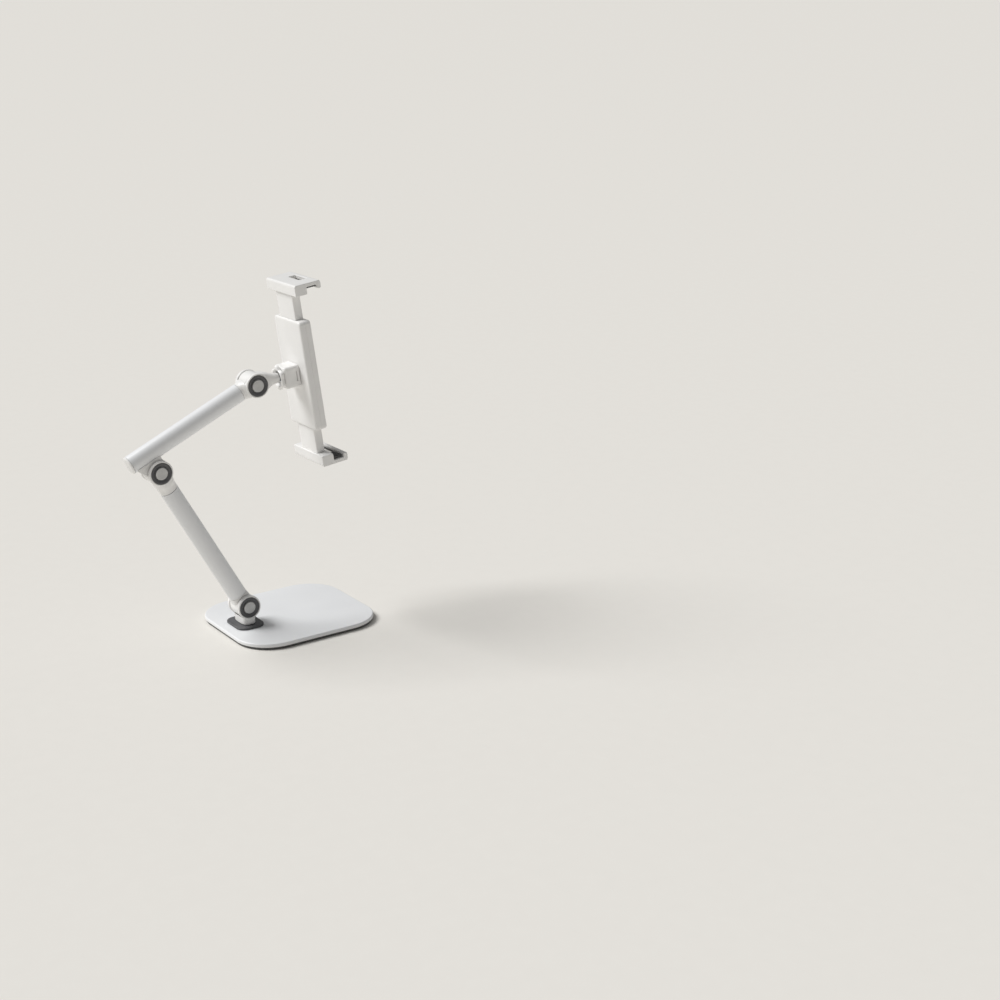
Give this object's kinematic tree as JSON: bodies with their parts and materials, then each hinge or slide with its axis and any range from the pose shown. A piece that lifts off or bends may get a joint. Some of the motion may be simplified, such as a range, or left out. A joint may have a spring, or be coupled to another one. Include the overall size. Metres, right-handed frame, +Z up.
{
  "type": "tablet stand",
  "caption": "Desktop tablet stand with a flat weighted base, hinged folding arms, a ball-jointed head and a sprung clamp whose jaws open together.",
  "frame": {"origin": "centre of the underside of the base pad, on the desk", "axes": "+Z up; the screen side of the holder faces -Y; the arm hinges turn about X"},
  "size_m": [0.146, 0.2426, 0.3595],
  "materials": {
    "white_paint": "satin powder coat",
    "white_plastic": "satin moulded",
    "dark_trim": "fine matte",
    "grey_cap": "satin",
    "black_rubber": "matte",
    "steel": "zinc plated",
    "nylon": "natural"
  },
  "bodies": {
    "base": {"base_pad": "black_rubber", "base_plate": "white_paint", "swivel_collar": "dark_trim", "swivel_washer": "steel"},
    "post": {"swivel_bolt": "steel", "base_post": "white_plastic", "base_hinge_bolt": "steel", "base_hinge_nut": "steel", "base_hinge_washer_near": "nylon", "base_hinge_washer_far": "nylon", "base_hinge_ring_near": "dark_trim", "base_hinge_ring_far": "dark_trim", "base_hinge_cap_near": "grey_cap", "base_hinge_cap_far": "grey_cap"},
    "lower_arm": {"lower_arm_tube": "white_paint", "lower_arm_foot": "white_plastic", "elbow_yoke": "white_plastic", "elbow_bolt": "steel", "elbow_nut": "steel", "elbow_washer_near": "nylon", "elbow_washer_far": "nylon", "elbow_ring_near": "dark_trim", "elbow_ring_far": "dark_trim", "elbow_cap_near": "grey_cap", "elbow_cap_far": "grey_cap"},
    "upper_arm": {"upper_arm_tube": "white_paint", "upper_arm_end_cap": "white_plastic", "elbow_bracket": "white_plastic", "head_yoke": "white_plastic", "head_hinge_bolt": "steel", "head_hinge_nut": "steel", "head_hinge_washer_near": "nylon", "head_hinge_washer_far": "nylon", "head_hinge_ring_near": "dark_trim", "head_hinge_ring_far": "dark_trim", "head_hinge_cap_near": "grey_cap", "head_hinge_cap_far": "grey_cap"},
    "link": {"head_link": "white_plastic", "ball_stud": "steel"},
    "ball_pan": {"ball_seat_left": "nylon"},
    "ball_tilt": {"ball_seat_right": "nylon"},
    "holder": {"ball_retainer": "nylon", "socket_block": "white_plastic", "holder_back_cover": "white_plastic", "holder_front_cover": "white_plastic", "holder_front_pad": "black_rubber", "top_spring": "steel", "bottom_spring": "steel"},
    "lock_nut": {"lock_nut": "white_plastic"},
    "top_jaw": {"top_slider": "white_plastic", "top_jaw": "white_plastic", "top_jaw_pad": "black_rubber"},
    "bottom_jaw": {"bottom_slider": "white_plastic", "bottom_jaw": "white_plastic", "bottom_jaw_pad": "black_rubber"},
    "pinion": {"centring_pinion": "nylon"}
  },
  "joints": [
    {"name": "base_swivel", "type": "hinge", "parent": "base", "child": "post", "pos_m": [0, 0.0505, 0], "axis": [0, 0, 1], "continuous": true},
    {"name": "base_hinge", "type": "hinge", "parent": "post", "child": "lower_arm", "pos_m": [0, 0.0505, 0.0275], "axis": [1, 0, 0], "range_deg": [-40, 20]},
    {"name": "elbow", "type": "hinge", "parent": "lower_arm", "child": "upper_arm", "pos_m": [0, 0.13445, 0.18673], "axis": [1, 0, 0], "range_deg": [-60, 25]},
    {"name": "head_hinge", "type": "hinge", "parent": "upper_arm", "child": "link", "pos_m": [0, 0.0249, 0.25783], "axis": [1, 0, 0], "range_deg": [-90, 30]},
    {"name": "ball_pan", "type": "hinge", "parent": "link", "child": "ball_pan", "pos_m": [0, -0.01253, 0.26005], "axis": [0, 0, 1], "range_deg": [-12, 12]},
    {"name": "ball_tilt", "type": "hinge", "parent": "ball_pan", "child": "ball_tilt", "pos_m": [0, -0.01253, 0.26005], "axis": [1, 0, 0], "range_deg": [-10, 12]},
    {"name": "holder_spin", "type": "hinge", "parent": "ball_tilt", "child": "holder", "pos_m": [0, -0.01253, 0.26005], "axis": [0, 0.9936, -0.1132], "continuous": true},
    {"name": "lock_nut_turn", "type": "hinge", "parent": "holder", "child": "lock_nut", "pos_m": [0, -0.00459, 0.25915], "axis": [0, 0.9936, -0.1132], "range_deg": [0, 90]},
    {"name": "top_jaw_slide", "type": "slide", "parent": "holder", "child": "top_jaw", "axis": [0, 0.1132, 0.9936], "range_m": [-0.024, 0.021], "deforming": ["top_spring"]},
    {"name": "bottom_jaw_slide", "type": "slide", "parent": "holder", "child": "bottom_jaw", "axis": [0, -0.1132, -0.9936], "range_m": [-0.024, 0.021], "deforming": ["bottom_spring"]},
    {"name": "pinion_spin", "type": "hinge", "parent": "holder", "child": "pinion", "pos_m": [0, -0.03042, 0.26209], "axis": [0, 0.9936, -0.1132], "range_deg": [-245, 300]}
  ],
  "couplings": [
    {"joint": "bottom_jaw_slide", "follows": "top_jaw_slide", "ratio": 1},
    {"joint": "pinion_spin", "follows": "top_jaw_slide", "rad_per_m": -200}
  ]
}
